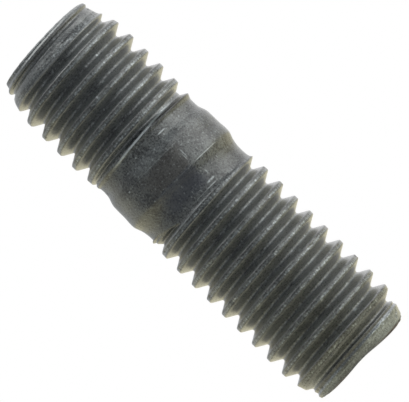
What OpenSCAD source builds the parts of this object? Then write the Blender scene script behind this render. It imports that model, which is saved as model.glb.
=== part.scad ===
// Double-ended stud bolt: one piece of dark steel with a plain swelled body between two
// threads, which dies roll into it. It stands on its long end, and +Z runs along its axis
// towards the short end.

/* [Lengths] */
// Length of the long, nut end's thread, from its face to where the groove has faded out
nut_thread_len = 16.95; // [10:0.05:40]
// Length of the plain body between the two threads
body_len = 4.75; // [3.6:0.05:20]
// Length of the short, tap end's thread, from its face to where the groove has faded out
tap_thread_len = 10.65; // [8:0.05:30]

/* [Thread] */
// Distance between one crest and the next, along the stud
pitch = 1.5; // [1.2:0.05:1.6]
// Diameter at which groove and ridge are equally wide, which is that of the bar before rolling
pitch_d = 9.03; // [8.9:0.01:9.2]
// Diameter over the crests
crest_d = 9.72; // [9.6:0.02:9.9]
// Angle between the two flanks of the groove
flank_angle = 60; // [58:1:62]
// Radius of the rounded root of the groove
root_round = 0.18; // [0.1:0.01:0.24]
// Angle about the axis at which a crest meets the long end's face
start_angle = 99; // [0:1:359]

/* [Thread ends] */
// Diameter of each end face's rim
point_d = 8.02; // [7.8:0.02:8.4]
// Length of the taper from each end face up to the full crests
point_len = 2.95; // [1:0.05:4]
// Rounding of the rim, as wide as it is high
rim_break = 0.16; // [0.05:0.01:0.3]
// Diameter of the shallow dish that rolling draws into each end face
dish_d = 6.2; // [3:0.1:7]
// Depth of that dish at its centre
dish_depth = 0.22; // [0.05:0.01:0.6]
// Slant of the short end's face, where the bar was cropped, in degrees
tap_face_slant = 2; // [0:0.25:4]
// Diameter of the lip beside the body, where the crests have faded
lip_d = 9.4; // [9.3:0.01:9.55]
// Length over which the crests fade to the lip
fade_len = 3; // [1:0.1:4]
// Length of the lip's slope down to the body
lip_slope_len = 0.35; // [0.2:0.01:0.6]
// Turns over which the groove lifts out of the steel beside the body
runout_turns = 1.5; // [0.8:0.1:2]

/* [Body] */
// Diameter of the swell in the middle of the body
swell_d = 9.66; // [9.4:0.02:11]
// Length of the swell's cylindrical land
swell_len = 2.1; // [0.5:0.05:3]
// Length of each hollow shoulder, from the neck up to the land
shoulder_len = 1.07; // [0.3:0.01:1.2]

/* [Hidden] */
$fn = 120;

total_len = nut_thread_len + body_len + tap_thread_len;
tap_thread_z = nut_thread_len + body_len;
body_mid_z = nut_thread_len + body_len / 2;

// Radius of the faces' flat ring, and the height of the slanted face on the axis
face_r = point_d / 2 - rim_break;
tap_face_z = total_len - face_r * tan(tap_face_slant);
// Bar that stands past the short end before it is cropped
crop_len = 0.3;

// The groove's form: its flanks would meet at apex_r, and the root's arc is tangent to both
half_angle = flank_angle / 2;
apex_r = pitch_d / 2 - pitch / 4 / tan(half_angle);
root_centre_r = apex_r + root_round / sin(half_angle);
root_r = root_centre_r - root_round;
root_facets = 3;

// How far the groove's section reaches past the crests, and how many sections a turn has
overcut = 0.12;
sections_per_turn = 36;

// Lift that takes the groove's root clear of the lip, and the share of it that brings it to the neck
exit_lift = lip_d / 2 - root_r + overcut / 2;
faded_share = sqrt((pitch_d / 2 - root_r) / exit_lift);

// Axial place of the groove's centre line at angle 0, half a pitch from the crest
groove_z = pitch / 2 - pitch * start_angle / 360;

// Points of one groove section as [radius, height], outermost corners first and last
function groove_section() = let (
        outer_r = crest_d / 2 + overcut,
        half_mouth = (outer_r - apex_r) * tan(half_angle),
        arc = 90 - half_angle
    ) concat(
        [[outer_r, -half_mouth]],
        [for (i = [0:root_facets]) let (a = -arc + 2 * arc * i / root_facets)
            [root_centre_r - root_round * cos(a), root_round * sin(a)]],
        [[outer_r, half_mouth]]
    );

// Groove's lift at a share of its runout, 0 where it is at full depth and 1 where it is out
function lift(share) = exit_lift * pow(max(0, share), 2);

// Curve of a hollow shoulder as [radius, height]: level with the neck at share 0
function shoulder(share, from_z, to_z) = [
    pitch_d / 2 + (swell_d - pitch_d) / 2 * (0.25 * share + 0.75 * pow(share, 2)),
    from_z + (to_z - from_z) * share
];

// Radius of the end's taper at a distance from its face
function taper_r(from_face) =
    point_d / 2 + (crest_d - point_d) / 2 * (from_face - rim_break) / (point_len - rim_break);

// Outline of a thread's crests as [radius, distance from its end's face], up to the neck
function crest_outline(thread_len) = [
    [crest_d / 2, point_len],
    [crest_d / 2, thread_len - lip_slope_len - fade_len],
    [lip_d / 2, thread_len - lip_slope_len],
    [pitch_d / 2, thread_len]
];

// Outline of the plain body, from the long thread's neck to the short one's
function body_outline() = concat(
    [for (i = [0:6]) shoulder(i / 6, body_mid_z - swell_len / 2 - shoulder_len, body_mid_z - swell_len / 2)],
    [for (i = [6:-1:0]) shoulder(i / 6, body_mid_z + swell_len / 2 + shoulder_len, body_mid_z + swell_len / 2)]
);

// Everything but the grooves, turned about the axis
module rolled_bar() {
    tap_crests = crest_outline(tap_thread_len);
    rotate_extrude()
        polygon(concat(
            [[0, dish_depth], [dish_d / 2, 0], [face_r, 0], [point_d / 2, rim_break]],
            crest_outline(nut_thread_len),
            body_outline(),
            [for (i = [len(tap_crests) - 1:-1:0]) [tap_crests[i][0], total_len - tap_crests[i][1]]],
            [[taper_r(-crop_len), total_len + crop_len], [0, total_len + crop_len]]
        ));
}

// What is taken off the short end: all above its slanted face, the edge of its rim and the dish
module crop() {
    reach = crop_len * 3;
    translate([0, 0, tap_face_z])
        rotate([0, -tap_face_slant, 0])
            rotate_extrude()
                polygon([
                    [0, -dish_depth],
                    [dish_d / 2, 0],
                    [face_r, 0],
                    [face_r + reach, -reach],
                    [face_r + reach, reach],
                    [0, reach]
                ]);
}

// Helical groove from past a free end, at open_z, to where it has faded out, at faded_z
module rolled_groove(open_z, faded_z) {
    way = sign(faded_z - open_z);
    open_turn = (open_z - groove_z) / pitch;
    out_turn = (faded_z - groove_z) / pitch + way * runout_turns * (1 - faded_share);
    first = min(open_turn, out_turn);
    steps = ceil(abs(out_turn - open_turn) * sections_per_turn);
    section = groove_section();
    n = len(section);
    points = [
        for (i = [0:steps], p = section) let (
            turn = first + abs(out_turn - open_turn) * i / steps,
            r = p[0] + lift(1 - abs(out_turn - turn) / runout_turns)
        ) [r * cos(360 * turn), r * sin(360 * turn), groove_z + pitch * turn + p[1]]
    ];
    sides = [
        for (i = [0:steps - 1], j = [0:n - 1]) let (
            a = i * n + j,
            b = i * n + (j + 1) % n
        ) each [[a, b + n, b], [a, a + n, b + n]]
    ];
    caps = [
        for (j = [1:n - 2]) each [[0, j, j + 1], [steps * n, steps * n + j + 1, steps * n + j]]
    ];
    polyhedron(points, concat(sides, caps));
}

module stud() {
    color("dimgray")
        difference() {
            rolled_bar();
            crop();
            rolled_groove(-pitch, nut_thread_len);
            rolled_groove(total_len + pitch, tap_thread_z);
        }
}

stud();
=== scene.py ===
"""Dark phosphated stud bolt, standing on its long end on a white floor.

The stud is one closed mesh: Geometry Nodes wrap a flat grid round it in a spiral, so
that the grid's rows follow the thread. Sizes are in millimetres and heights run from
the long end, until the mesh is placed in metres. "Nut" names the long end and its
thread, "tap" the short end and its thread.
"""

from __future__ import annotations

import logging
import math
from dataclasses import dataclass, field
from enum import Enum

import bpy
from mathutils import Euler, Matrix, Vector

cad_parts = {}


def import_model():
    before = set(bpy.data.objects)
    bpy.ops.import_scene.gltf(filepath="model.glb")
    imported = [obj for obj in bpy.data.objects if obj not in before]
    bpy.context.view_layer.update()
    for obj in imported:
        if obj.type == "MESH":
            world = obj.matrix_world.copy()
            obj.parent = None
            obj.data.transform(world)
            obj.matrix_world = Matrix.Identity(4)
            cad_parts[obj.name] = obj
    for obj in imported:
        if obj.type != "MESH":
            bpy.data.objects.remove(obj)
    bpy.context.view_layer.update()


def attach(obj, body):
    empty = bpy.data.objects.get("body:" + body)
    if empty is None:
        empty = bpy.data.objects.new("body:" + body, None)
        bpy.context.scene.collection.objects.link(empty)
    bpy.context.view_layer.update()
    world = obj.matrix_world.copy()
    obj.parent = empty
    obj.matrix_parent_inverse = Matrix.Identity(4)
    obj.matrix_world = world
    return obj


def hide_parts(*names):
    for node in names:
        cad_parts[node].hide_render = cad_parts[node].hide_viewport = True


log = logging.getLogger("stud")

MM = 0.001
TAU = math.tau

Band = tuple[float, float]
Colour = tuple[float, float, float, float]


class Blend(Enum):
    """How a ramp between two values runs."""

    LINEAR = "LINEAR"
    SMOOTH = "SMOOTHSTEP"


class Term:
    """A value in a node tree, which arithmetic on it extends with Math nodes.

    Args:
        tree: node tree that the nodes are added to.
        value: output socket, or a plain number.
    """

    def __init__(self, tree: bpy.types.NodeTree, value: bpy.types.NodeSocket | float) -> None:
        """Keeps the tree and the value."""
        self.tree = tree
        self.value = value

    def maths(self, operation: str, *others: Term | float) -> Term:
        """Adds one Math node.

        Args:
            operation: the Math node's operation.
            others: its second and third value.

        Returns:
            The node's result.
        """
        node = self.tree.nodes.new("ShaderNodeMath")
        node.operation = operation
        for socket, item in zip(node.inputs, (self, *others)):
            plug(self.tree, socket, item)
        return Term(self.tree, node.outputs[0])

    def __add__(self, other: Term | float) -> Term:
        """Sum."""
        return self.maths("ADD", other)

    def __sub__(self, other: Term | float) -> Term:
        """Difference."""
        return self.maths("SUBTRACT", other)

    def __rsub__(self, other: float) -> Term:
        """A number less this."""
        return Term(self.tree, other).maths("SUBTRACT", self)

    def __mul__(self, other: Term | float) -> Term:
        """Product."""
        return self.maths("MULTIPLY", other)

    def __truediv__(self, other: Term | float) -> Term:
        """Quotient."""
        return self.maths("DIVIDE", other)

    __radd__ = __add__
    __rmul__ = __mul__

    def magnitude(self) -> Term:
        """Value without its sign."""
        return self.maths("ABSOLUTE")

    def capped(self) -> Term:
        """Value, at most 1."""
        return self.maths("MINIMUM", 1.0)

    def ramp(self, start: Term | float, end: Term | float, low: Term | float = 0.0,
             high: Term | float = 1.0, blend: Blend = Blend.LINEAR) -> Term:
        """Goes from low at start to high at end, and stays level outside them.

        Args:
            start: value of this term at which the ramp starts.
            end: value at which it ends.
            low: result at the start.
            high: result at the end.
            blend: form of the ramp.

        Returns:
            The ramp's result.
        """
        node = self.tree.nodes.new("ShaderNodeMapRange")
        node.interpolation_type = blend.value
        for socket, item in zip(node.inputs, (self, start, end, low, high)):
            plug(self.tree, socket, item)
        return Term(self.tree, node.outputs[0])

    def fall(self, start: Term | float, end: Term | float) -> Term:
        """Goes from 1 at start down to 0 at end."""
        return self.ramp(start, end, 1.0, 0.0)


def plug(tree: bpy.types.NodeTree, socket: bpy.types.NodeSocket, item: object) -> None:
    """Links a term or an output to a socket, or sets a plain value on it.

    Args:
        tree: tree of the socket.
        socket: input socket.
        item: term, output socket, or value.
    """
    value = item.value if isinstance(item, Term) else item
    if isinstance(value, bpy.types.NodeSocket):
        tree.links.new(value, socket)
    else:
        socket.default_value = value


def noise(tree: bpy.types.NodeTree, where: object, scale: float, detail: float = 2.0,
          rough: float = 0.5, stretch: tuple[float, float, float] = (1, 1, 1)) -> Term:
    """Adds a noise texture.

    Args:
        tree: tree that it goes in.
        where: output socket that holds the place.
        scale: size of the pattern.
        detail: octaves.
        rough: weight of the fine octaves.
        stretch: how much finer the pattern is along each axis.

    Returns:
        The noise, about 0.5.
    """
    scaled = tree.nodes.new("ShaderNodeVectorMath")
    scaled.operation = "MULTIPLY"
    plug(tree, scaled.inputs[0], where)
    scaled.inputs[1].default_value = stretch
    node = tree.nodes.new("ShaderNodeTexNoise")
    tree.links.new(scaled.outputs[0], node.inputs["Vector"])
    node.inputs["Scale"].default_value = scale
    node.inputs["Detail"].default_value = detail
    node.inputs["Roughness"].default_value = rough
    return Term(tree, node.outputs[0])


def parted(tree: bpy.types.NodeTree, vector: bpy.types.NodeSocket) -> tuple[Term, Term, Term]:
    """Parts a vector into three terms.

    Args:
        tree: tree that the node goes in.
        vector: output socket that holds the vector.

    Returns:
        Its x, y and z.
    """
    node = tree.nodes.new("ShaderNodeSeparateXYZ")
    tree.links.new(vector, node.inputs[0])
    x, y, z = (Term(tree, socket) for socket in node.outputs)
    return x, y, z


def joined(tree: bpy.types.NodeTree, x: Term | float, y: Term | float,
           z: Term | float) -> bpy.types.NodeSocket:
    """Joins three terms into a vector.

    Args:
        tree: tree that the node goes in.
        x: first part.
        y: second part.
        z: third part.

    Returns:
        The vector's socket.
    """
    node = tree.nodes.new("ShaderNodeCombineXYZ")
    for socket, item in zip(node.inputs, (x, y, z)):
        plug(tree, socket, item)
    return node.outputs[0]


@dataclass(frozen=True)
class Thread:
    """Sizes of the rolled thread, with its angles in degrees."""

    pitch: float = 1.5
    pitch_d: float = 9.03
    crest_d: float = 9.72
    half_angle: float = 30.0
    root_round: float = 0.18
    start_angle: float = 99.0
    rows_per_pitch: int = 24
    columns: int = 150

    @property
    def half(self) -> float:
        """Half of the angle between the flanks, in radians."""
        return math.radians(self.half_angle)

    @property
    def apex_r(self) -> float:
        """Radius at which the groove's flanks would meet."""
        return self.pitch_d / 2 - self.pitch / 4 / math.tan(self.half)

    @property
    def root_centre_r(self) -> float:
        """Radius of the root arc's centre."""
        return self.apex_r + self.root_round / math.sin(self.half)

    @property
    def groove_height(self) -> float:
        """Height of the groove's centre line at angle 0."""
        return self.pitch / 2 - self.pitch * self.start_angle / 360


@dataclass(frozen=True)
class Ends:
    """Sizes of the two ends and of the crests' fading beside the body."""

    length: float = 32.35
    point_d: float = 8.02
    point_len: float = 2.95
    nut_point_len: float = 2.55
    rim_round: float = 0.2
    rim_wave: float = 0.17
    dish_r: float = 3.1
    dish_depth: float = 0.2
    slant: float = 2.0
    nut_groove_end: float = 16.62
    tap_groove_end: float = 22.1
    lip_d: float = 9.4
    fade_len: float = 2.4
    crest_drop: float = 0.017
    crest_dents: float = 0.16
    crest_ripple: float = 0.06
    nut_hollow: float = 0.18
    tap_hollow: float = 0.14


@dataclass(frozen=True)
class Runout:
    """How the grooves' floors rise beside the body, and where the body takes over."""

    nut_heights: Band = (14.6, 16.0)
    nut_radii: Band = (3.9, 4.18)
    nut_wall: Band = (16.0, 16.3)
    nut_wall_rise: float = 0.3
    tap_heights: Band = (22.9, 23.7)
    tap_radii: Band = (4.2, 3.9)
    tap_wall: Band = (22.28, 22.5)
    tap_wall_rise: float = 0.42
    tap_back_fill: float = 0.2
    blend: float = 0.06
    nut_edge: float = 15.9
    nut_edge_climb: float = 0.76
    tap_edge: float = 22.2
    tap_edge_wave: float = 0.03


@dataclass(frozen=True)
class Spot:
    """Terms at one point of the stud's side.

    Args:
        size: the tree's named inputs.
        angle: angle about the axis, in radians.
        height: height of the point.
        from_top: distance below the short end.
        in_nut: 1 on the long end's half, otherwise 0.
        across: place across the thread, 0 at a groove's centre and 0.5 at a crest's.
        dents: depth of the dents there.
        ripple: rise of the slow ripple there.
    """

    size: dict[str, Term]
    angle: Term
    height: Term
    from_top: Term
    in_nut: Term
    across: Term
    dents: Term
    ripple: Term

    def by_end(self, nut: Term, tap: Term) -> Term:
        """Takes one of two terms by the half that the point is on."""
        return nut * self.in_nut + tap * (1.0 - self.in_nut)


@dataclass
class StudBody:
    """The stud: two rolled threads with a plain swelled body between them."""

    thread: Thread = field(default_factory=Thread)
    ends: Ends = field(default_factory=Ends)
    runout: Runout = field(default_factory=Runout)
    body_from: float = 15.8
    body_to: float = 22.6
    body_low_r: float = 4.4
    body_high_r: float = 4.9
    body_profile: tuple[Band, ...] = (
        (15.80, 4.72), (15.95, 4.66), (16.10, 4.59), (16.35, 4.54), (16.95, 4.52),
        (17.23, 4.54), (17.50, 4.58), (17.72, 4.63), (17.95, 4.71), (18.15, 4.78),
        (18.32, 4.83), (18.48, 4.845), (18.70, 4.845), (19.22, 4.81), (20.10, 4.80),
        (20.36, 4.79), (20.52, 4.765), (20.75, 4.70), (21.00, 4.61), (21.30, 4.545),
        (21.80, 4.535), (22.00, 4.57), (22.12, 4.63), (22.60, 4.72),
    )
    face_step: float = 3.1
    pole_r: float = 0.06

    def inputs(self, tree: bpy.types.NodeTree) -> tuple[bpy.types.Node, dict[str, Term]]:
        """Gives the tree its named inputs.

        Args:
            tree: tree that the inputs belong to.

        Returns:
            The input node, and a term for each size by its name.
        """
        face = tree.interface
        face.new_socket("Geometry", in_out="OUTPUT", socket_type="NodeSocketGeometry")
        sizes = {
            "Pitch": self.thread.pitch, "Crest radius": self.thread.crest_d / 2,
            "Length": self.ends.length, "Point radius": self.ends.point_d / 2,
            "Point length": self.ends.point_len, "Rim wave": self.ends.rim_wave,
            "Crest dents": self.ends.crest_dents,
        }
        for name, value in sizes.items():
            socket = face.new_socket(name, in_out="INPUT", socket_type="NodeSocketFloat")
            socket.default_value = value
        face.new_socket("Finish", in_out="INPUT", socket_type="NodeSocketMaterial")
        given = tree.nodes.new("NodeGroupInput")
        return given, {name: Term(tree, given.outputs[name]) for name in sizes}

    def grid(self, tree: bpy.types.NodeTree) -> tuple[bpy.types.NodeSocket, Term, Term]:
        """Adds the flat grid: a column for each angle, and rows that follow the thread.

        Args:
            tree: tree that the nodes go in.

        Returns:
            The grid, and each point's column and row.
        """
        turns = math.ceil(self.ends.length / self.thread.pitch) + 4
        rows, columns = turns * self.thread.rows_per_pitch, self.thread.columns
        grid = tree.nodes.new("GeometryNodeMeshGrid")
        plug(tree, grid.inputs["Size X"], float(columns))
        plug(tree, grid.inputs["Size Y"], float(rows))
        plug(tree, grid.inputs["Vertices X"], columns + 1)
        plug(tree, grid.inputs["Vertices Y"], rows + 1)
        flat = parted(tree, tree.nodes.new("GeometryNodeInputPosition").outputs[0])
        column = (flat[0] + columns / 2).maths("ROUND")
        row = (flat[1] + rows / 2).maths("ROUND")
        return grid.outputs["Mesh"], column, row

    def tree(self) -> bpy.types.NodeTree:
        """Makes the Geometry Nodes tree that wraps one spiral grid round the stud.

        Returns:
            The tree, with its sizes as named inputs.
        """
        tree = bpy.data.node_groups.new("RolledStud", "GeometryNodeTree")
        given, size = self.inputs(tree)
        mesh, column, row = self.grid(tree)
        thread, per_pitch = self.thread, self.thread.rows_per_pitch
        turn = column / float(thread.columns)
        angle = turn.maths("FRACT") * TAU
        start = -thread.pitch * (2.5 + thread.start_angle / 360 + 0.5 / per_pitch)
        path = (turn + row / float(per_pitch)) * size["Pitch"] + start
        on_side = path.maths("MAXIMUM", 0.0).maths("MINIMUM", size["Length"])
        past = (path - on_side).magnitude()
        height, radius = self.side(tree, size, angle, on_side)
        radius = radius - past * self.face_step
        radius = radius * radius.maths("GREATER_THAN", self.pole_r)
        height = self.faces(size, angle, radius, on_side, past, height)

        spot = joined(tree, radius * angle.maths("COSINE"), radius * angle.maths("SINE"), height)
        metres = tree.nodes.new("ShaderNodeVectorMath")
        metres.operation = "SCALE"
        tree.links.new(spot, metres.inputs[0])
        metres.inputs["Scale"].default_value = MM
        return self.wrapped(tree, given, mesh, metres.outputs[0])

    def side(self, tree: bpy.types.NodeTree, size: dict[str, Term], angle: Term,
             along: Term) -> tuple[Term, Term]:
        """Works out the stud's side: its crests, groove, ends and body.

        Args:
            tree: tree that the nodes go in.
            size: named inputs.
            angle: angle about the axis, in radians.
            along: distance from the long end, before the faces' own unevenness.

        Returns:
            Height and radius of the side at each point.
        """
        thread, mean_r = self.thread, 4.5
        height = along + self.uneven(size, angle, along)
        around = joined(tree, angle.maths("COSINE") * mean_r, angle.maths("SINE") * mean_r, height)
        offset = height - angle * (thread.pitch / TAU) - thread.groove_height
        spot = Spot(
            size=size, angle=angle, height=height, from_top=size["Length"] - height,
            in_nut=height.maths("LESS_THAN", (self.body_from + self.body_to) / 2),
            across=(offset / size["Pitch"]).maths("FRACT"),
            dents=noise(tree, around, 2.2, 3.0).ramp(0.60, 0.80) * size["Crest dents"],
            ripple=(noise(tree, around, 0.55, 1.0) - 0.5) * self.ends.crest_ripple,
        )
        threaded = self.crests(spot).maths("SMOOTH_MIN", self.groove(spot), 0.025)
        in_body = self.body_share(spot)
        return height, self.body(tree, spot) * in_body + threaded * (1.0 - in_body)

    def crests(self, spot: Spot) -> Term:
        """Works out the radius of the crests, with the tapered and rounded ends.

        Args:
            spot: the point.

        Returns:
            Radius of the steel where no groove is cut.
        """
        ends, size, z = self.ends, spot.size, spot.height
        point, full, lip = size["Point radius"], size["Crest radius"], ends.lip_d / 2
        taper = z.ramp(0.0, ends.nut_point_len, point, full)
        tap_taper = spot.from_top.ramp(0.0, size["Point length"], point, full)
        taper = taper.maths("MINIMUM", tap_taper)
        fade = spot.by_end(
            z.ramp(ends.nut_groove_end - ends.fade_len, ends.nut_groove_end, full, lip),
            z.ramp(ends.tap_groove_end, ends.tap_groove_end + ends.fade_len, lip + 0.03, full),
        )
        curl = 1.0 - z.maths("MINIMUM", spot.from_top).ramp(0.0, ends.rim_round)
        rim = (1.0 - (1.0 - curl * curl).maths("MAXIMUM", 0.0).maths("SQRT")) * ends.rim_round
        hollow = spot.across.ramp(0.26, 0.34) * spot.from_top.ramp(1.3, 1.8, ends.tap_hollow, 0.0)
        hollow = hollow + spot.across.ramp(0.58, 0.70) * z.ramp(1.5, 2.0, ends.nut_hollow, 0.0)
        whole = taper.maths("MINIMUM", fade)
        return whole - spot.dents + spot.ripple - rim - hollow - ends.crest_drop

    def groove(self, spot: Spot) -> Term:
        """Works out the radius of the groove's flanks, rounded root and floor.

        Args:
            spot: the point.

        Returns:
            Radius of the groove's surface.
        """
        thread = self.thread
        aside = spot.across.maths("PINGPONG", 0.5) * spot.size["Pitch"]
        flank = aside / math.tan(thread.half) + thread.apex_r
        bowl = (thread.root_round ** 2 - aside * aside).maths("MAXIMUM", 0.0).maths("SQRT")
        root = thread.root_centre_r - bowl
        in_root = aside.maths("LESS_THAN", thread.root_round * math.cos(thread.half))
        groove = root.maths("MAXIMUM", flank) * (1.0 - in_root) + root * in_root
        deeper = spot.from_top.ramp(0.9, 1.5, 0.06, 0.0)
        return groove.maths("SMOOTH_MAX", self.groove_floor(spot), self.runout.blend) - deeper

    def groove_floor(self, spot: Spot) -> Term:
        """Works out the radius that the groove doesn't go below beside the body.

        Args:
            spot: the point.

        Returns:
            Radius of the floor, which ends in a wall at each side of the body.
        """
        runout, z = self.runout, spot.height
        nut = z.ramp(*runout.nut_heights, *runout.nut_radii)
        nut = nut + z.ramp(*runout.nut_wall, 0.0, runout.nut_wall_rise)
        foot, head = runout.tap_wall
        wall_end = spot.angle.maths("COSINE").ramp(0.2, 0.6, runout.tap_back_fill, 0.0) + head
        tap = z.ramp(*runout.tap_heights, *runout.tap_radii)
        tap = tap + z.ramp(foot, wall_end, runout.tap_wall_rise, 0.0)
        return spot.by_end(nut, tap)

    def body(self, tree: bpy.types.NodeTree, spot: Spot) -> Term:
        """Works out the radius of the plain body from its drawn outline.

        Args:
            tree: tree that the nodes go in.
            spot: the point.

        Returns:
            Radius of the body.
        """
        outline = tree.nodes.new("ShaderNodeFloatCurve")
        self.draw_profile(outline.mapping.curves[0])
        outline.mapping.update()
        plug(tree, outline.inputs["Value"], spot.height.ramp(self.body_from, self.body_to))
        drawn = Term(tree, outline.outputs[0])
        return drawn.ramp(0.0, 1.0, self.body_low_r, self.body_high_r) - spot.dents * 0.3

    def body_share(self, spot: Spot) -> Term:
        """Works out where the body takes over: its edge climbs with the thread that runs out.

        Args:
            spot: the point.

        Returns:
            1 on the body and 0 on the threads.
        """
        runout, turned = self.runout, spot.angle / TAU
        climb = turned.ramp(0.0, 0.52, 0.0, runout.nut_edge_climb)
        climb = climb * turned.ramp(0.54, 0.70, 1.0, 0.0, Blend.SMOOTH)
        tap_edge = spot.angle.maths("COSINE") * runout.tap_edge_wave + runout.tap_edge
        above_nut = (spot.height - (climb + runout.nut_edge)).ramp(-0.04, 0.05)
        return above_nut * (spot.height - tap_edge).fall(-0.03, 0.07)

    def draw_profile(self, curve: bpy.types.CurveMap) -> None:
        """Draws the plain body's outline into a curve from 0 to 1.

        Args:
            curve: curve that takes the outline.
        """
        span, rise = self.body_to - self.body_from, self.body_high_r - self.body_low_r
        spots = [((z - self.body_from) / span, (r - self.body_low_r) / rise)
                 for z, r in self.body_profile]
        curve.points[0].location = spots[0]
        curve.points[1].location = spots[-1]
        for spot in spots[1:-1]:
            curve.points.new(*spot)

    def uneven(self, size: dict[str, Term], angle: Term, along: Term) -> Term:
        """Works out how far the faces' wavy and slanted rims lift or lower the steel there.

        Args:
            size: named inputs.
            angle: angle about the axis.
            along: distance from the long end.

        Returns:
            Rise in millimetres.
        """
        lobes = ((angle + math.pi / 2) * 4.0).maths("COSINE") * 0.5 + 0.5
        lean = 0.5 - angle.maths("COSINE") * 0.5
        near_nut = along.ramp(0.0, 1.4, 1.0, 0.0, Blend.SMOOTH)
        wave = (lobes * size["Rim wave"] + lean * 0.07) * near_nut
        slope = size["Point radius"] * math.tan(math.radians(self.ends.slant))
        drop = (1.0 - angle.maths("COSINE")) * slope
        ragged = (angle * 5.0).maths("SINE") * 0.02 + 0.02
        front = (1.0 - angle.maths("SINE")) * 0.045
        near_tap = (size["Length"] - along).ramp(0.0, 1.2, 1.0, 0.0, Blend.SMOOTH)
        return wave - (drop + ragged + front) * near_tap

    def faces(self, size: dict[str, Term], angle: Term, radius: Term, on_side: Term, past: Term,
              height: Term) -> Term:
        """Works out the height of both end faces and keeps that of the side.

        Args:
            size: named inputs.
            angle: angle about the axis.
            radius: radius of the point.
            on_side: distance from the long end, held between the ends.
            past: how far the point's path runs past an end.
            height: height of the side there.

        Returns:
            Height of every point.
        """
        ends, point = self.ends, size["Point radius"]
        is_tap = on_side.maths("GREATER_THAN", ends.length / 2)
        inward = radius.ramp(ends.dish_r + 0.6, 0.4, 0.0, ends.dish_depth, Blend.SMOOTH)
        slope = math.tan(math.radians(ends.slant))
        plane = size["Length"] - (point - radius * angle.maths("COSINE")) * slope - 0.02
        share = radius / point
        nut_face = height * share + inward * (1.0 - share * 0.5)
        flat = (plane - inward) * is_tap + nut_face * (1.0 - is_tap)
        is_face = past.ramp(0.0, 0.06)
        return flat * is_face + height * (1.0 - is_face)

    def wrapped(self, tree: bpy.types.NodeTree, given: bpy.types.Node,
                mesh: bpy.types.NodeSocket, place: bpy.types.NodeSocket) -> bpy.types.NodeTree:
        """Moves the grid's points to their places, closes it and gives it its finish.

        Args:
            tree: tree that the nodes go in.
            given: the tree's input node.
            mesh: the flat grid.
            place: place of each point, in metres.

        Returns:
            The finished tree.
        """
        kinds = ("SetPosition", "MergeByDistance", "SetShadeSmooth", "RealizeInstances",
                 "SetMaterial")
        steps = [tree.nodes.new(f"GeometryNode{kind}") for kind in kinds]
        tree.links.new(place, steps[0].inputs["Position"])
        steps[1].inputs["Distance"].default_value = 0.001 * MM
        tree.links.new(given.outputs["Finish"], steps[4].inputs["Material"])
        last = mesh
        for step in steps:
            tree.links.new(last, step.inputs[0])
            last = step.outputs[0]
        tree.links.new(last, tree.nodes.new("NodeGroupOutput").inputs[0])
        return tree

    def build(self, finish: bpy.types.Material) -> bpy.types.Object:
        """Makes the stud as a plain mesh.

        Args:
            finish: its material.

        Returns:
            The stud's object, at the origin.
        """
        tree = self.tree()
        maker = bpy.data.objects.new("stud_maker", bpy.data.meshes.new("stud_maker"))
        bpy.context.scene.collection.objects.link(maker)
        modifier = maker.modifiers.new("RolledStud", "NODES")
        modifier.node_group = tree
        socket = next(i for i in tree.interface.items_tree if i.name == "Finish")
        modifier[socket.identifier] = finish
        graph = bpy.context.evaluated_depsgraph_get()
        mesh = bpy.data.meshes.new_from_object(maker.evaluated_get(graph))
        for index in reversed(range(len(mesh.materials))):
            if mesh.materials[index] is None:
                mesh.materials.pop(index=index)
        maker.modifiers.remove(modifier)
        bpy.data.objects.remove(maker)
        stud = bpy.data.objects.new("stud_steel", mesh)
        bpy.context.scene.collection.objects.link(stud)
        return stud


@dataclass(frozen=True)
class Mark:
    """A light mark on the camera's side: its middle and half sizes. Long thin marks along the
    body's edges and shoulder are painted highlights; short ones are scratches.
    """

    x: float
    z: float
    half_x: float
    half_z: float
    strength: float
    slope: float = 0.0

    def on(self, x: Term, z: Term) -> Term:
        """Draws the mark.

        Args:
            x: place across the camera's view.
            z: height.

        Returns:
            Its strength at each point.
        """
        beside = (x - self.x).magnitude().fall(self.half_x * 0.7, self.half_x * 1.2)
        middle = (x - self.x) * self.slope + self.z if self.slope else self.z
        above = (z - middle).magnitude().fall(self.half_z * 0.5, self.half_z * 1.5)
        return beside * above * self.strength


@dataclass(frozen=True)
class Surface:
    """Terms and noises at one point of the steel.

    Args:
        x: place across the camera's view.
        y: depth, negative on the camera's side.
        z: height.
        radius: distance from the axis.
        across: place across the thread, 0 at a groove's centre and 0.5 at a crest's.
        aside: distance from the crest's middle, negative towards the long end.
        cloud: slow noise.
        grain: fine noise.
        patchy: noise between the two.
        streak: noise drawn out along the thread.
        specks: noise for single bright specks.
        outer: 1 on the side and 0 on the end faces.
        threaded: 1 on the threads and 0 on the body.
        land: 1 on the crests' flats.
        root: 1 along the grooves' roots.
        facing: 1 on the strip that faces the camera.
    """

    x: Term
    y: Term
    z: Term
    radius: Term
    across: Term
    aside: Term
    cloud: Term
    grain: Term
    patchy: Term
    streak: Term
    specks: Term
    outer: Term
    threaded: Term
    land: Term
    root: Term
    facing: Term

    @property
    def front(self) -> Term:
        """1 on the camera's side."""
        return self.y.maths("LESS_THAN", 0.0)


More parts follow.
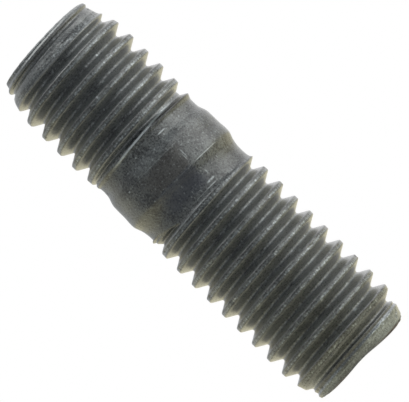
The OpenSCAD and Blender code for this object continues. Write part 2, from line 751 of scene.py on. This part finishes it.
@dataclass(frozen=True)
class PhosphatedSteel:
    """Dark oiled phosphate on steel, powdery in the grooves and scuffed light on the crests, with
    painted highlights and painted shade.
    """

    thread: Thread = field(default_factory=Thread)
    dark: Colour = (0.010, 0.012, 0.014, 1.0)
    light: Colour = (0.086, 0.095, 0.096, 1.0)
    brown: Colour = (0.034, 0.031, 0.028, 1.0)
    night: Colour = (0.020, 0.025, 0.038, 1.0)
    powder: Colour = (0.138, 0.147, 0.150, 1.0)
    # Near-black colour of the painted shade.
    shade: Colour = (0.012, 0.013, 0.014, 1.0)
    rust: Colour = (0.16, 0.085, 0.055, 1.0)
    # Light colour for the scuffing, the painted highlights and the light marks.
    rubbed_and_highlight: Colour = (0.37, 0.41, 0.425, 1.0)
    specular: float = 0.5
    coat_roughness: float = 0.30
    bump_strength: float = 0.7
    bump_depth: float = 0.05
    # Light marks: short scratches, and long thin painted highlights along the body's edges and
    # shoulder.
    marks: tuple[Mark, ...] = (
        Mark(1.40, 21.48, 0.34, 0.045, 1.0), Mark(1.43, 19.30, 0.045, 0.32, 0.6),
        Mark(1.30, 19.02, 0.04, 0.22, 0.5), Mark(2.60, 18.30, 0.95, 0.030, 0.8),
        Mark(1.45, 16.62, 0.34, 0.060, 0.8), Mark(1.20, 16.30, 0.38, 0.030, 0.6),
        Mark(1.66, 17.25, 0.05, 0.160, 0.8), Mark(-1.19, 21.44, 0.06, 0.050, 0.9),
        Mark(-3.23, 20.12, 0.06, 0.050, 0.9), Mark(-0.20, 20.22, 2.40, 0.028, 0.22),
        Mark(0.0, 20.72, 2.2, 0.42, 0.13), Mark(-0.30, 18.30, 2.00, 0.028, 0.14),
        Mark(0.20, 12.60, 0.05, 0.10, 0.8), Mark(-0.05, 26.35, 0.06, 0.10, 0.9),
        Mark(1.05, 26.90, 0.12, 0.07, 0.8), Mark(3.90, 23.70, 0.08, 0.06, 0.5),
        Mark(4.10, 18.85, 0.05, 0.05, 0.6), Mark(0.20, 22.30, 2.80, 0.065, 1.5, 0.085),
        Mark(-1.70, 15.82, 2.30, 0.030, 0.45, 0.066), Mark(0.60, 16.28, 1.20, 0.028, 0.3, 0.02),
        Mark(0.90, 5.05, 0.10, 0.06, 0.7), Mark(-0.20, 0.56, 3.20, 0.060, 0.35, 0.05),
        Mark(2.30, 8.70, 0.10, 0.07, 0.8), Mark(2.05, 2.95, 0.14, 0.07, 0.9),
    )

    def material(self) -> bpy.types.Material:
        """Makes the material.

        Returns:
            The material, on Object coordinates.
        """
        made = bpy.data.materials.new("phosphated_steel")
        made.use_nodes = True
        tree = made.node_tree
        shader = tree.nodes["Principled BSDF"]
        on = self.surface(tree)
        nut_land, tap_land = self.lands(on)
        rub_and_highlight = self.rubbing_and_highlights(on, nut_land + tap_land)
        # Painted shade in the grooves near the body and the ends, and along one side of the
        # crests.
        shaded = self.shading(on)
        base = self.base_colour(tree, on, shaded)
        # Base colour lightened by scuffing, painted highlights and light marks.
        worn_and_highlit = self.mixed(tree, self.wear_and_highlights(on, rub_and_highlight, nut_land).capped(), base, self.rubbed_and_highlight)
        tree.links.new(worn_and_highlit, shader.inputs["Base Color"])
        plug(tree, shader.inputs["Roughness"], on.grain.ramp(0.3, 0.7, 0.22, 0.42))
        # Metallic rises with the painted shade, so its reflection darkens too, and with the
        # scuffing and painted highlight.
        plug(tree, shader.inputs["Metallic"], (rub_and_highlight + shaded).capped() * 0.6 + 0.3)
        shader.inputs["Specular IOR Level"].default_value = self.specular
        oily = 0.68 + (1.0 - on.land) * on.threaded * 0.32 - on.root * on.threaded * 0.5
        plug(tree, shader.inputs["Coat Weight"], oily - on.z.ramp(31.75, 31.9, 0.0, 0.5))
        shader.inputs["Coat Roughness"].default_value = self.coat_roughness
        bump = tree.nodes.new("ShaderNodeBump")
        bump.inputs["Strength"].default_value = self.bump_strength
        bump.inputs["Distance"].default_value = self.bump_depth * MM
        relief = on.grain * 0.8 + on.cloud * 0.3
        relief = relief + (on.streak * 0.4 + on.patchy * 0.5) * on.threaded
        plug(tree, bump.inputs["Height"], relief)
        tree.links.new(bump.outputs[0], shader.inputs["Normal"])
        return made

    def surface(self, tree: bpy.types.NodeTree) -> Surface:
        """Works out the places, noises and parts of the surface that the finish goes by.

        Args:
            tree: tree of the material.

        Returns:
            The terms.
        """
        place = tree.nodes.new("ShaderNodeTexCoord").outputs["Object"]
        x, y, z = (part / MM for part in parted(tree, place))
        radius = (x * x + y * y).maths("SQRT")
        pitch = self.thread.pitch
        offset = z - y.maths("ARCTAN2", x) * (pitch / TAU) - self.thread.groove_height
        across = (offset / pitch).maths("FRACT")
        aside = (across - 0.5) * pitch
        outer = radius.ramp(3.5, 3.7)
        root = across.maths("PINGPONG", 0.5).fall(0.04, 0.09) * z.fall(30.9, 31.2)
        return Surface(
            x=x, y=y, z=z, radius=radius, across=across, aside=aside, outer=outer,
            cloud=noise(tree, place, 900.0, 4.0, 0.6),
            grain=noise(tree, place, 7000.0, 2.0, 0.7),
            patchy=noise(tree, place, 2600.0, 4.0, 0.6),
            streak=noise(tree, joined(tree, x, y, offset), 0.45, 4.0, 0.65, (1, 1, 22)),
            specks=noise(tree, place, 7000.0, 1.0),
            threaded=(z.fall(15.7, 16.1) + z.ramp(22.15, 22.35)) * outer,
            land=aside.magnitude().fall(0.14, 0.22),
            root=root * z.ramp(1.6, 1.9) * x.ramp(3.2, 3.9, 1.0, 0.5),
            facing=(x + 0.4).magnitude().fall(0.8, 1.8) * y.maths("LESS_THAN", 0.0),
        )

    def lands(self, on: Surface) -> tuple[Term, Term]:
        """Finds the flattened first land of each thread.

        Args:
            on: the surface.

        Returns:
            The long end's land and the short end's.
        """
        nut = on.across.fall(0.66, 0.70) * on.z.fall(1.3, 1.6)
        nut = nut * (on.x + 0.5).magnitude().ramp(0.5, 2.5, 0.5, 1.0) * on.outer
        tap = on.across.ramp(0.22, 0.26) * on.across.fall(0.45, 0.6)
        return nut, tap * on.z.ramp(30.4, 30.7, 0.0, 0.5) * on.outer

    def rubbing_and_highlights(self, on: Surface, lands: Term) -> Term:
        """Finds where the steel is lighter: one edge of the crests, the roots and the lands, each
        partly scuffing and partly painted highlight.

        Args:
            on: the surface.
            lands: the first lands at both ends.

        Returns:
            Share of the lighter finish: scuffing with painted highlight.
        """
        # The strip on one edge of each crest is partly scuffing and partly a painted highlight of
        # the light falling on that edge.
        edge = on.aside + (on.patchy - 0.5) * 0.10
        strip = edge.ramp(-0.15, -0.07) * edge.fall(0.0, 0.08) * on.radius.ramp(4.5, 4.6)
        strip = strip * on.patchy.ramp(0.38, 0.55, 0.15, 0.8)
        # Painted highlight along the roots, left out on the strip that faces the camera and halved
        # towards +x by the root mask.
        root = on.root * (1.0 - on.facing) * on.patchy.ramp(0.48, 0.60, 0.0, 0.5)
        on_lands = lands * on.streak.ramp(0.35, 0.6, 0.3, 1.0)
        return ((strip + root) * on.threaded + on_lands).capped()

    def wear_and_highlights(self, on: Surface, rub_and_highlight: Term, nut_land: Term) -> Term:
        """Adds up how much the scuffing, the painted highlights and the marks lighten the steel.

        Args:
            on: the surface.
            rub_and_highlight: share of the scuffing and painted highlight.
            nut_land: the long end's first land.

        Returns:
            Share of the light colour, not yet capped at 1.
        """
        # The long end's first land, made lighter towards +x and near the rim as painted highlight.
        on_land = nut_land * on.x.ramp(1.0, 2.5, 0.3, 1.0) * on.z.ramp(0.3, 1.0, 0.45, 0.12)
        # Painted highlight on the short end's rounded rim.
        rim = on.z.ramp(31.80, 31.88) * on.radius.ramp(3.6, 3.8)
        bright = rub_and_highlight * 0.36 + on_land + rim * 0.06 + self.marked(on)
        # Bright specks all over, and more of them on the scuffing and painted highlights.
        specks = on.specks.ramp(0.68, 0.74) * 0.35 + on.specks.ramp(0.58, 0.66) * rub_and_highlight * 0.7
        return bright + specks

    def shading(self, on: Surface) -> Term:
        """Finds the painted shade: in the grooves beside the body and at both ends, and along one
        side of the crests.

        Args:
            on: the surface.

        Returns:
            Strength of the painted shade.
        """
        # Painted shade in the groove beside the body on the short end's side, mostly towards +x.
        beside_body = on.z.ramp(22.1, 22.16) * on.z.ramp(22.38, 22.5, 1.0, 0.1)
        beside_body = beside_body * on.z.fall(23.0, 23.1) * on.x.ramp(0.8, 1.8)
        # Painted shade in the grooves near the short end and in the cut groove near the long end.
        tap_cut = (1.0 - on.land) * on.z.ramp(31.3, 31.4, 0.0, 0.2) * on.z.fall(31.78, 31.84)
        nut_cut = on.across.ramp(0.62, 0.68) * on.z.ramp(1.4, 1.7, 0.3, 0.0)
        # Painted shade along each crest's side towards the long end, on the -x half of the stud.
        crest = on.aside.ramp(-0.21, -0.17) * on.aside.fall(-0.10, -0.05)
        crest = crest * on.x.ramp(-0.5, 1.0, 0.4, 0.0) * on.threaded
        return (beside_body + tap_cut + nut_cut) * on.outer + crest

    def base_colour(self, tree: bpy.types.NodeTree, on: Surface,
                    shaded: Term) -> bpy.types.NodeSocket:
        """Mixes the phosphate's colours with the painted shade, before the scuffing and painted
        highlights.

        Args:
            tree: tree of the material.
            on: the surface.
            shaded: strength of the painted shade.

        Returns:
            The colour's socket.
        """
        # A darker patch on the front of the body, a little towards -x of its middle: brown above
        # 18.3 mm, blue-black below.
        wavy_x = on.x + (on.cloud - 0.5) * 1.6
        wavy_z = on.z + (on.cloud - 0.5) * 1.2
        patch = wavy_z.ramp(16.3, 16.9) * wavy_z.fall(19.9, 20.3) * wavy_x.ramp(-2.8, -1.6)
        patch = patch * wavy_x.fall(1.1, 1.5) * on.front
        powdery = (on.streak * 0.5 + on.grain * 0.5).ramp(0.36, 0.64, 0.2, 1.0)
        powdery = powdery * on.threaded * (1.0 - on.land)
        # Less powder under the painted shade, and none on the roots in the strip that faces the
        # camera, which darkens them there as painted shade.
        powdery = powdery * (1.0 - shaded) * (1.0 - on.root * on.facing)
        # Brown tone on the short end's rim, deepened towards -x as painted shade.
        tap_rim_brown_and_shade = on.z.ramp(31.7, 31.85) * on.outer * on.x.ramp(-0.5, 3.0, 0.75, 0.3)
        nut_rim = on.z.fall(0.12, 0.20) * on.radius.ramp(3.7, 3.9)
        layers = (
            ((on.cloud * 0.4 + on.grain * 0.6).ramp(0.43, 0.57), self.light),
            (patch * on.z.ramp(18.3, 18.5, 0.0, 0.6), self.brown),
            (patch * on.z.ramp(18.3, 18.5, 0.7, 0.0), self.night),
            (powdery.capped(), self.powder),
            # Painted shade.
            (shaded.capped() * 0.9, self.shade),
            (tap_rim_brown_and_shade, self.brown),
            (nut_rim, self.rust),
        )
        colour = self.dark
        for share, layer in layers:
            colour = self.mixed(tree, share, colour, layer)
        return colour

    def marked(self, on: Surface) -> Term:
        """Adds up the light marks: scratches, and painted highlights along the body's edges and
        shoulder.

        Args:
            on: the surface.

        Returns:
            Strength of the marks.
        """
        total = sum((mark.on(on.x, on.z) for mark in self.marks), Term(on.x.tree, 0.0))
        return total * on.front * on.patchy.ramp(0.35, 0.6, 0.4, 1.0)

    def mixed(self, tree: bpy.types.NodeTree, share: Term, first: object,
              second: object) -> bpy.types.NodeSocket:
        """Mixes two colours.

        Args:
            tree: tree of the material.
            share: share of the second colour.
            first: colour or socket at 0.
            second: colour or socket at 1.

        Returns:
            The mixed colour's socket.
        """
        node = tree.nodes.new("ShaderNodeMix")
        node.data_type = "RGBA"
        plug(tree, node.inputs[0], share)
        plug(tree, node.inputs[6], first)
        plug(tree, node.inputs[7], second)
        return node.outputs[2]


class Output(Enum):
    """What a shader ends in, and the plain white emitter that goes with it."""

    MATERIAL = ("Material Output", "ShaderNodeEmission")
    WORLD = ("World Output", "ShaderNodeBackground")


@dataclass(frozen=True)
class Lamp:
    """A soft rectangular lamp: its place and size in metres, power in watts and colour."""

    name: str
    place: tuple[float, float, float]
    size: Band
    watts: float
    tint: tuple[float, float, float] = (1.0, 1.0, 0.97)


@dataclass(frozen=True)
class Studio:
    """White floor, soft lamps and the photograph's camera."""

    centre: tuple[float, float, float] = (0.00005, 0.0, 0.016076)
    distance: float = 0.320
    rise: float = -2.82
    roll: float = 45.46
    lens: float = 394.6
    floor_half: float = 0.6
    floor_front: float = -0.02
    floor_colour: Colour = (0.95, 0.87, 0.58, 1.0)
    air_colour: Colour = (0.95, 0.985, 1.01, 1.0)
    lamps: tuple[Lamp, ...] = (
        Lamp("right_lamp", (0.42, -0.02, 0.05), (0.30, 0.50), 0.92),
        Lamp("right_front_lamp", (0.40, -0.30, 0.06), (0.42, 0.50), 0.88),
        Lamp("left_back_lamp", (-0.36, 0.18, 0.03), (0.30, 0.45), 0.15, (1.0, 0.94, 0.62)),
        Lamp("top_lamp", (0.0, 0.05, 0.50), (0.40, 0.40), 1.3),
    )

    def floor(self) -> bpy.types.Object:
        """Makes the floor.

        Returns:
            The floor's object.
        """
        half, front = self.floor_half, self.floor_front
        corners = [(-half, front, 0), (half, front, 0), (half, half, 0), (-half, half, 0)]
        mesh = bpy.data.meshes.new("floor")
        mesh.from_pydata(corners, [], [(0, 1, 2, 3)])
        floor = bpy.data.objects.new("floor", mesh)
        bpy.context.scene.collection.objects.link(floor)
        paint = bpy.data.materials.new("floor_white")
        paint.use_nodes = True
        shader = paint.node_tree.nodes["Principled BSDF"]
        shader.inputs["Base Color"].default_value = self.floor_colour
        shader.inputs["Roughness"].default_value = 0.9
        shader.inputs["Specular IOR Level"].default_value = 0.1
        self.seen_white(paint.node_tree, shader.outputs[0], Output.MATERIAL, 0.95, 0.2)
        mesh.materials.append(paint)
        return floor

    def seen_white(self, tree: bpy.types.NodeTree, surface: bpy.types.NodeSocket,
                   output: Output, straight: float, mirrored: Term | float) -> None:
        """Adds white to a surface or world where the camera sees it, straight or mirrored.

        Args:
            tree: its node tree.
            surface: its own shader.
            output: where the shader ends.
            straight: share of the white that the camera sees.
            mirrored: share of the white that reflections show.
        """
        end, emitter = output.value
        white = tree.nodes.new(emitter)
        white.inputs[0].default_value = (1, 1, 1, 1)
        white.inputs[1].default_value = 1.0
        path = tree.nodes.new("ShaderNodeLightPath")
        seen = Term(tree, path.outputs["Is Camera Ray"])
        seen = seen + Term(tree, path.outputs["Is Transmission Ray"])
        reflected = Term(tree, path.outputs["Is Glossy Ray"]) * mirrored
        mix = tree.nodes.new("ShaderNodeMixShader")
        plug(tree, mix.inputs[0], seen * straight + reflected)
        tree.links.new(surface, mix.inputs[1])
        tree.links.new(white.outputs[0], mix.inputs[2])
        tree.links.new(mix.outputs[0], tree.nodes[end].inputs[0])

    def world(self) -> None:
        """Lights everything softly, more from the white backdrop than from the front."""
        world = bpy.data.worlds.new("studio")
        bpy.context.scene.world = world
        world.use_nodes = True
        tree = world.node_tree
        air = tree.nodes["Background"]
        air.inputs[0].default_value = self.air_colour
        way = tree.nodes.new("ShaderNodeTexCoord").outputs["Generated"]
        beside, behind, _ = parted(tree, way)
        plug(tree, air.inputs[1], behind.ramp(-0.6, 0.5, 0.43, 0.55))
        mirrored = behind.ramp(0.1, 0.6) * beside.ramp(-0.2, 0.15, 0.10, 1.0)
        self.seen_white(tree, air.outputs[0], Output.WORLD, 1.0, mirrored)

    def hang(self, lamp: Lamp) -> None:
        """Adds a lamp that faces the stud.

        Args:
            lamp: the lamp.
        """
        light = bpy.data.lights.new(lamp.name, "AREA")
        light.shape = "RECTANGLE"
        light.size, light.size_y = lamp.size
        light.energy = lamp.watts
        light.color = lamp.tint
        hung = bpy.data.objects.new(lamp.name, light)
        hung.location = lamp.place
        way = Vector(self.centre) - Vector(lamp.place)
        hung.rotation_euler = way.to_track_quat("-Z", "Y").to_euler()
        bpy.context.scene.collection.objects.link(hung)

    def camera(self) -> None:
        """Sets the photograph's camera, turned so that the short end points up and left."""
        data = bpy.data.cameras.new("camera")
        data.lens = self.lens
        data.sensor_width = 36.0
        data.clip_start = 0.01
        data.clip_end = 20.0
        camera = bpy.data.objects.new("camera", data)
        tilt = math.radians(self.rise)
        away = Vector((0, -math.cos(tilt), math.sin(tilt))) * self.distance
        camera.location = Vector(self.centre) + away
        facing = Euler((math.pi / 2 - tilt, 0, 0)).to_matrix()
        turned = Euler((0, 0, -math.radians(self.roll))).to_matrix()
        camera.rotation_euler = (facing @ turned).to_euler()
        bpy.context.scene.collection.objects.link(camera)
        bpy.context.scene.camera = camera

    def build(self) -> bpy.types.Object:
        """Makes the studio.

        Returns:
            The floor.
        """
        self.world()
        for lamp in self.lamps:
            self.hang(lamp)
        self.camera()
        return self.floor()


def main() -> None:
    """Builds the stud and its studio in order."""
    logging.basicConfig(level=logging.INFO, format="%(name)s: %(message)s")
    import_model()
    bpy.context.scene.view_settings.view_transform = "Standard"
    stud = StudBody().build(PhosphatedSteel().material())
    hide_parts("stud")
    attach(stud, "root")
    log.info("%s: %d faces", stud.name, len(stud.data.polygons))
    Studio().build()
    log.info("studio built")


if __name__ == "__main__":
    main()
